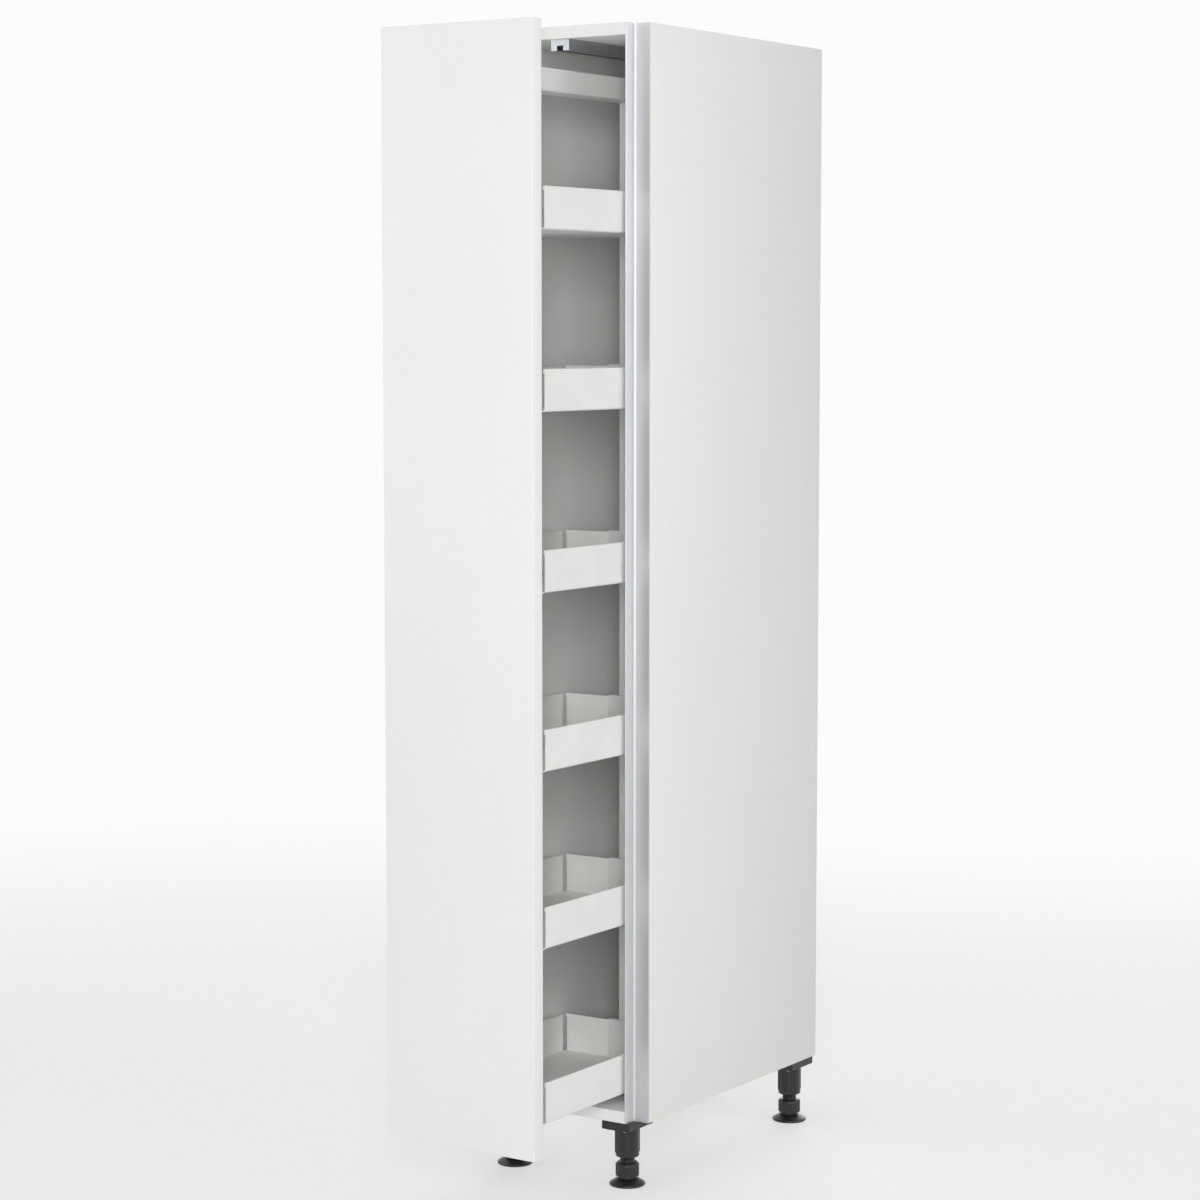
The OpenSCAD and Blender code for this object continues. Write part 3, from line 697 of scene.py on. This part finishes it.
@dataclass
class Socket:
    """The fixed half of a leg: a plate under the carcass and a ribbed tube, moulded in one.

    Fields:
        plate, corner_radius, corner_steps, ease: the plate's thickness, corners and edge radius.
        count: the points round the tube.
        tube, rim, nose: the tube's radius and the two steps that round its lower end.
        bore, bore_top: the radius and height of the hole that the foot's stem runs in.
        rib_foot, rib_lead, rib_half, rib_flank, rib_out: the ribs' lower end, the length over which
            they rise, half their width, the width of a flank and how far they stand out.
        overlap: how far the tube runs into the plate.
    """

    palette: Palette
    corner: str
    plate: float = 14 * MM
    corner_radius: float = 4 * MM
    corner_steps: int = 6
    ease: float = 0.8 * MM
    count: int = 240
    tube: float = 19 * MM
    rim: float = 0.6 * MM
    nose: float = 2 * MM
    bore: float = 12.3 * MM
    bore_top: float = 44 * MM
    rib_foot: float = 6 * MM
    rib_lead: float = 1 * MM
    rib_half: float = 1.5 * MM
    rib_flank: float = 0.8 * MM
    rib_out: float = 1.4 * MM
    overlap: float = 1 * MM

    def build(self) -> None:
        """Makes the plate and the tube of one leg."""
        node = f"leg_socket_{self.corner}"
        low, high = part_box(node)
        made = prism(self.outline(low, high), high.z - self.plate, high.z, self.ease)
        bore, tube, rim, rib = self.bore, self.tube, self.rim, self.rib_foot
        end = high.z - low.z - self.plate + self.overlap
        profile = [
            (0, self.bore_top), (bore, self.bore_top), (bore, rim), (bore + rim, 0),
            (tube - self.nose, 0), (tube - rim, rim), (tube, self.nose),
            (tube, rib - self.rib_lead), (tube, rib), (tube, rib + self.rib_lead),
            (tube, end), (0, end),
        ]
        revolve(made, profile, self.count, standing_in(low, high), self.radius)
        make_piece(
            f"leg_moulding_{self.corner}", made, "carcass",
            [self.palette.slot("leg_plastic")], replaces=[node], smooth_below=40.0,
        )

    def outline(self, low: Vector, high: Vector) -> list[Flat]:
        """Draws the plate's outline, a rectangle with rounded corners.

        Args:
            low, high: the corners of the leg's box.

        Returns:
            The outline's points.
        """
        r = self.corner_radius
        left, front, right, rear = low.x + r, low.y + r, high.x - r, high.y - r
        points = []
        for corner, (x, y) in enumerate(((right, rear), (left, rear), (left, front), (right, front))):
            for step in range(self.corner_steps + 1):
                angle = (corner + step / self.corner_steps) * QUARTER_TURN
                points.append((x + r * math.cos(angle), y + r * math.sin(angle)))
        return points

    def radius(self, radius: float, height: float, angle: float) -> float:
        """Raises the four ribs on the tube.

        Args:
            radius: the plain radius.
            height: the height over the tube's lower end.
            angle: the angle round the tube.

        Returns:
            The radius with its rib.
        """
        if abs(radius - self.tube) > SAME or height < self.rib_foot - SAME:
            return radius
        off = abs(angle % QUARTER_TURN - QUARTER_TURN / 2) * self.tube
        side = min(max((self.rib_half + self.rib_flank / 2 - off) / self.rib_flank, 0), 1)
        rise = min((height - self.rib_foot) / self.rib_lead, 1)
        return radius + self.rib_out * side * rise


@dataclass
class Foot:
    """One screwed foot: a disc, a slotted collar and a threaded stem, moulded in one.

    Fields:
        count: the points round the foot.
        collar, slotted: the collar's radius, and the one that marks it in the profile where it has
            slots.
        slots, slot_half, slot_depth: the number of slots, half the angle of one, and its depth.
        stem, stem_chamfer: the stem's radius and the chamfer on its upper end.
        thread_from, thread_pitch, thread_depth, thread_run: the height where the thread starts, its
            pitch and depth, and the height between rings of points.
        profile_mm: the radius and height of each ring of points up to the stem.
    """

    palette: Palette
    corner: str
    count: int = 96
    collar: float = 19 * MM
    slotted: float = 18.95 * MM
    slots: int = 6
    slot_half: float = math.radians(6)
    slot_depth: float = 1.2 * MM
    stem: float = 12 * MM
    stem_chamfer: float = 1 * MM
    thread_from: float = 38.2 * MM
    thread_pitch: float = 3 * MM
    thread_depth: float = 0.9 * MM
    thread_run: float = 0.5 * MM
    profile_mm: tuple[Flat, ...] = (
        (0, 0), (26.5, 0), (28.2, 0.3), (29, 1.5), (29, 2.8), (28.3, 3.8), (27.2, 4.3), (17.2, 10.8),
        (15, 11.2), (14.2, 11.8), (14, 13), (14, 14.4), (14.6, 15), (18.2, 15), (19, 15.8), (19, 18.9),
        (18.95, 19), (18.95, 32), (19, 32.1), (19, 34), (18.6, 34.7), (15.3, 37.8), (14.6, 38), (12, 38),
    )

    def build(self) -> None:
        """Turns the foot round its stem's axis."""
        node = f"leg_foot_{self.corner}"
        low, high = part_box(node)
        profile = [(r * MM, z * MM) for r, z in self.profile_mm]
        height, end = profile[-1][1], high.z - low.z
        while height + self.thread_run < end - self.stem_chamfer:
            height += self.thread_run
            profile.append((self.stem, height))
        profile += [(self.stem - self.stem_chamfer, end), (0, end)]
        made = bmesh.new()
        revolve(made, profile, self.count, standing_in(low, high), self.radius)
        make_piece(
            f"foot_moulding_{self.corner}", made, f"foot_{self.corner}",
            [self.palette.slot("leg_plastic")], replaces=[node], smooth_below=40.0,
        )

    def radius(self, radius: float, height: float, angle: float) -> float:
        """Cuts the collar's slots and the stem's thread.

        Args:
            radius: the plain radius.
            height: the height over the floor.
            angle: the angle round the stem.

        Returns:
            The radius with the cut.
        """
        if abs(radius - self.slotted) < SAME:
            step = 2 * math.pi / self.slots
            off = abs((angle + step / 2) % step - step / 2)
            return self.collar - (self.slot_depth if off < self.slot_half else 0)
        if abs(radius - self.stem) < SAME and height > self.thread_from:
            turn = height / self.thread_pitch - angle / (2 * math.pi)
            return self.stem - self.thread_depth * (0.5 - 0.5 * math.cos(2 * math.pi * turn))
        return radius


class Head(Enum):
    """The tops of screw heads, as radius and height in shares of the head's radius."""

    PAN = ((0.0, 0.55), (0.35, 0.545), (0.7, 0.5), (0.92, 0.36), (1.0, 0.14))
    SUNK = ((0.0, 0.0), (0.97, 0.0), (1.0, -0.03))


@dataclass
class Screws:
    """The screws of one node, each with a cross recess in its head.

    Fields, where all but end_near are shares of the head's radius:
        recess_width, recess_reach, recess_depth: an arm's width, its reach, and the middle's depth.
        recess_taper, recess_rise: how much the recess's floor is narrower, and how much less deep
            it gets outwards.
        pan_height, sunk_height: the heights of the two kinds of head.
        shank, point, point_length: the radius of the shank, that of the tip, and the length of the
            taper between them.
        head_rings: the radii of the rings of points between the cross and the head's rim.
        end_near: how close to a solid's end a point lies that belongs to it.
    """

    palette: Palette
    node: str
    body: str
    head: Head
    recess_width: float = 0.28
    recess_reach: float = 0.62
    recess_depth: float = 0.34
    recess_taper: float = 0.04
    recess_rise: float = 0.55
    pan_height: float = 0.6
    sunk_height: float = 0.5
    shank: float = 0.5
    point: float = 0.2
    point_length: float = 0.75
    head_rings: tuple[float, ...] = (0.8, 0.92, 1.0)
    end_near: float = 0.05 * MM

    def build(self) -> None:
        """Makes a head and a shank at each of the node's screws."""
        made = bmesh.new()
        for points in islands(self.node):
            self.screw(made, points)
        make_piece(
            f"{self.node}_cross_recessed", made, self.body,
            [self.palette.slot("zinc_steel")], replaces=[self.node], smooth_below=40.0,
        )

    def screw(self, made: bmesh.types.BMesh, points: Sequence[Vector]) -> None:
        """Adds one screw, in one closed skin, that fills the space of a CAD solid.

        Args:
            made: the mesh that gets it.
            points: the solid's points.
        """
        low = Vector(min(p[i] for p in points) for i in range(3))
        high = Vector(max(p[i] for p in points) for i in range(3))
        size = high - low
        along = max(range(3), key=lambda i: size[i])
        across = [i for i in range(3) if i != along]
        middle = (low + high) / 2
        at_low, at_high = (
            max(
                math.hypot(*(p[i] - middle[i] for i in across))
                for p in points if abs(p[along] - end[along]) < self.end_near
            )
            for end in (low, high)
        )
        axis = Vector((0, 0, 0))
        axis[along] = 1 if at_high > at_low else -1
        head_r = max(size[i] for i in across) / 2
        tip = middle - axis * size[along] / 2
        turn = axis.to_track_quat("Z", "Y").to_matrix().to_4x4()
        place = Matrix.Translation(tip) @ turn @ Matrix.Scale(head_r, 4)
        length = size[along] / head_r
        net = self.head_net(length) + self.shank_net(length)
        join_rings(made, [[made.verts.new(place @ Vector(point)) for point in ring] for ring in net])

    def head_net(self, length: float) -> list[Ring]:
        """Lays rings of points over the head, from the recess's bottom to the head's rim.

        Args:
            length: the screw's length in head radii.

        Returns:
            The rings, in head radii over the screw's tip.
        """
        half, reach, depth = self.recess_width / 2, self.recess_reach, self.recess_depth
        floor = []
        for x, y in self.cross(reach - self.recess_taper, half - self.recess_taper):
            share = math.hypot(x, y)
            floor.append((x, y, self.level(length, share) - depth * (1 - self.recess_rise * share)))
        lip = [(x, y, self.level(length, math.hypot(x, y))) for x, y in self.cross(reach, half)]
        rounds = [self.ring(share, self.level(length, share)) for share in self.head_rings]
        return [[(0.0, 0.0, length - depth)], floor, lip, *rounds]

    def shank_net(self, length: float) -> list[Ring]:
        """Lays rings of points from the head's underside to the screw's tip.

        Args:
            length: the screw's length in head radii.

        Returns:
            The rings, in head radii over the screw's tip.
        """
        if self.head is Head.PAN:
            seat = length - self.pan_height
            under = [self.ring(1.0, seat), self.ring(self.shank, seat)]
        else:
            under = [self.ring(self.shank, length - self.sunk_height)]
        taper = [self.ring(self.shank, self.point_length), self.ring(self.point, 0.0)]
        return [*under, *taper, [(0.0, 0.0, 0.0)]]

    def cross(self, reach: float, half: float) -> list[Flat]:
        """Draws the outline of a cross, six points to each arm.

        Args:
            reach: how far an arm reaches from the middle.
            half: half the width of an arm.

        Returns:
            The outline's points.
        """
        mid = (reach + half) / 2
        arm = ((reach, -half), (reach, 0.0), (reach, half), (mid, half), (half, half), (half, mid))
        turns = ((1, 0), (0, 1), (-1, 0), (0, -1))
        return [(x * c - y * s, x * s + y * c) for c, s in turns for x, y in arm]

    def ring(self, radius: float, height: float) -> Ring:
        """Lays a round ring whose points stand outside those of the cross.

        Args:
            radius: the ring's radius.
            height: its height over the screw's tip.

        Returns:
            The ring's points.
        """
        end, diagonal = math.atan2(self.recess_width / 2, self.recess_reach), QUARTER_TURN / 2
        mid = (end + diagonal) / 2
        parts = (-end, 0.0, end, mid, diagonal, QUARTER_TURN - mid)
        angles = [turn * QUARTER_TURN + part for turn in range(4) for part in parts]
        return [(radius * math.cos(a), radius * math.sin(a), height) for a in angles]

    def level(self, length: float, share: float) -> float:
        """Returns the height of the head's surface over the tip, at a share of its radius."""
        return length + self.crown(share) - self.head.value[0][1]

    def crown(self, share: float) -> float:
        """Looks up the shape of the head's top.

        Args:
            share: the distance from the head's middle.

        Returns:
            The height there.
        """
        shape = self.head.value
        for (r0, h0), (r1, h1) in zip(shape, shape[1:]):
            if share <= r1:
                return h0 + (h1 - h0) * (share - r0) / (r1 - r0)
        return shape[-1][1]


@dataclass
class KeptNodes:
    """The CAD nodes, which keep their own shape and get the finish of their slot."""

    palette: Palette

    def dress(self) -> None:
        """Puts its slot's finish on every node that the record lists."""
        for part in frame["record"]["subparts"]:
            name, slot = part["node"], part["material_slot"]
            for holder in frame["nodes"][name].material_slots:
                holder.material = self.palette.slot(slot)
            LOG.info("%s: finish %s", name, slot)


# ---- Studio ----


@dataclass
class Lamp:
    """A soft rectangular lamp that faces a point of the unit."""

    name: str
    place: tuple[float, float, float]
    size: tuple[float, float]
    watts: float

    def build(self, target: Vector) -> None:
        """Hangs the lamp and turns it to the target.

        Args:
            target: the point that it faces.
        """
        data = bpy.data.lights.new(self.name, "AREA")
        data.shape = "RECTANGLE"
        data.size, data.size_y = self.size
        data.energy = self.watts
        lamp = bpy.data.objects.new(self.name, data)
        lamp.location = self.place
        lamp.rotation_euler = (target - Vector(self.place)).to_track_quat("-Z", "Y").to_euler()
        bpy.context.scene.collection.objects.link(lamp)


@dataclass
class Studio:
    """A pale floor, an even white surround, soft lamps and the camera.

    Fields:
        backdrop, floor, surround, surround_strength: the colours seen and lit by, and the light's
            strength.
        floor_radius, floor_points, floor_roughness: the floor's disc.
        floor_clear, floor_lost, floor_glow: the distances over which the floor melts into the
            backdrop, and the share of the backdrop that it has at the unit.
        lens, sensor, place, down, yaw: the camera, with its angles in degrees.
        lamps: the lamps, all turned to the unit's middle.
    """

    backdrop: str = "#FCFCFC"
    floor: str = "#F6F6F6"
    surround: str = "#FFFFFF"
    surround_strength: float = 0.25
    floor_radius: float = 14.0
    floor_points: int = 96
    floor_roughness: float = 0.9
    floor_clear: float = 1.2
    floor_lost: float = 4.0
    floor_glow: float = 0.5
    lens: float = 88.55
    sensor: float = 36.0
    place: tuple[float, float, float] = (2.6434, -3.9884, 1.3643)
    down: float = 5.2
    yaw: float = 33.785
    lamps: tuple[Lamp, ...] = (
        Lamp("lamp_key", (2.8, -4.15, 1.8), (0.8, 1.8), 105.0),
        Lamp("lamp_left", (-4.0, -2.2, 2.2), (3.6, 3.0), 46.0),
        Lamp("lamp_right", (4.2, 1.2, 2.2), (2.4, 2.4), 34.0),
        Lamp("lamp_rear", (-1.8, 4.6, 2.2), (2.8, 2.8), 88.0),
        Lamp("lamp_top", (0.2, -0.4, 4.4), (2.6, 2.6), 30.0),
    )

    def build(self) -> None:
        """Sets the whole studio up."""
        self.world()
        self.ground()
        low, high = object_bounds()
        for lamp in self.lamps:
            lamp.build((low + high) / 2)
        self.camera()
        bpy.context.scene.view_settings.view_transform = "Standard"

    def world(self) -> None:
        """Lights the scene evenly and shows the backdrop's colour wherever it is seen."""
        world = bpy.data.worlds.new("studio")
        world.use_nodes = True
        tree = world.node_tree
        tree.nodes.clear()
        light = add_node(
            tree, "ShaderNodeBackground", {0: linear(self.surround), 1: self.surround_strength}
        )
        seen = add_node(tree, "ShaderNodeBackground", {0: linear(self.backdrop), 1: 1.0})
        mix = add_node(
            tree, "ShaderNodeMixShader", {0: self.shown(tree), 1: light.outputs[0], 2: seen.outputs[0]}
        )
        add_node(tree, "ShaderNodeOutputWorld", {0: mix.outputs[0]})
        bpy.context.scene.world = world

    def shown(self, tree: bpy.types.NodeTree) -> bpy.types.NodeSocket:
        """Adds nodes that tell the rays which see the backdrop from those that carry light.

        Args:
            tree: the tree that gets the nodes.

        Returns:
            A socket that is 1 for camera, glossy and transmitted rays, and else 0.
        """
        path = add_node(tree, "ShaderNodeLightPath")
        some = add_node(
            tree, "ShaderNodeMath",
            {0: path.outputs["Is Camera Ray"], 1: path.outputs["Is Glossy Ray"]}, operation="MAXIMUM",
        )
        return add_node(
            tree, "ShaderNodeMath",
            {0: some.outputs[0], 1: path.outputs["Is Transmission Ray"]}, operation="MAXIMUM",
        ).outputs[0]

    def ground(self) -> None:
        """Lays the floor, a matt disc that melts into the backdrop away from the unit."""
        made = bmesh.new()
        bmesh.ops.create_circle(made, cap_ends=True, radius=self.floor_radius, segments=self.floor_points)
        mesh = bpy.data.meshes.new("floor")
        made.to_mesh(mesh)
        made.free()
        material = bpy.data.materials.new("floor_matt_pale")
        material.use_nodes = True
        tree = material.node_tree
        matt = tree.nodes["Principled BSDF"]
        matt.inputs["Base Color"].default_value = linear(self.floor)
        matt.inputs["Roughness"].default_value = self.floor_roughness
        coords = add_node(tree, "ShaderNodeTexCoord")
        away = add_node(tree, "ShaderNodeVectorMath", {0: coords.outputs["Object"]}, operation="LENGTH")
        fade = add_node(
            tree, "ShaderNodeMapRange",
            {"Value": away.outputs["Value"], "From Min": self.floor_clear, "From Max": self.floor_lost,
             "To Min": self.floor_glow},
            interpolation_type="SMOOTHSTEP",
        )
        share = add_node(
            tree, "ShaderNodeMath", {0: fade.outputs["Result"], 1: self.shown(tree)}, operation="MULTIPLY"
        )
        glow = add_node(tree, "ShaderNodeEmission", {0: linear(self.backdrop), 1: 1.0})
        mix = add_node(
            tree, "ShaderNodeMixShader", {0: share.outputs[0], 1: matt.outputs[0], 2: glow.outputs[0]}
        )
        tree.links.new(mix.outputs[0], tree.nodes["Material Output"].inputs["Surface"])
        mesh.materials.append(material)
        floor = bpy.data.objects.new("floor", mesh)
        bpy.context.scene.collection.objects.link(floor)
        floor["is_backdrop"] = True

    def camera(self) -> None:
        """Sets the camera where the picture was taken from."""
        data = bpy.data.cameras.new("camera")
        data.lens = self.lens
        data.sensor_width = self.sensor
        camera = bpy.data.objects.new("camera", data)
        camera.location = self.place
        camera.rotation_euler = (math.radians(90 - self.down), 0, math.radians(self.yaw))
        bpy.context.scene.collection.objects.link(camera)
        bpy.context.scene.camera = camera


def main() -> None:
    """Builds the studio and dresses the unit, one sub-assembly after another."""
    logging.basicConfig(level=logging.INFO, format="%(message)s")
    palette = Palette()
    Studio().build()
    Carcass(palette).build()
    DoorFront(palette).build()
    for corner in ("front_left", "front_right", "rear_left", "rear_right"):
        Socket(palette, corner).build()
        Foot(palette, corner).build()
    for node, body, head in (
        ("leg_screws", "carcass", Head.PAN),
        ("runner_screws", "carcass", Head.SUNK),
        ("guide_screws", "carcass", Head.SUNK),
        ("door_screws", "pullout", Head.PAN),
        ("column_screws", "pullout", Head.PAN),
        ("shoe_screws", "pullout", Head.SUNK),
    ):
        Screws(palette, node, body, head).build()
    KeptNodes(palette).dress()


if __name__ == "__main__":
    main()
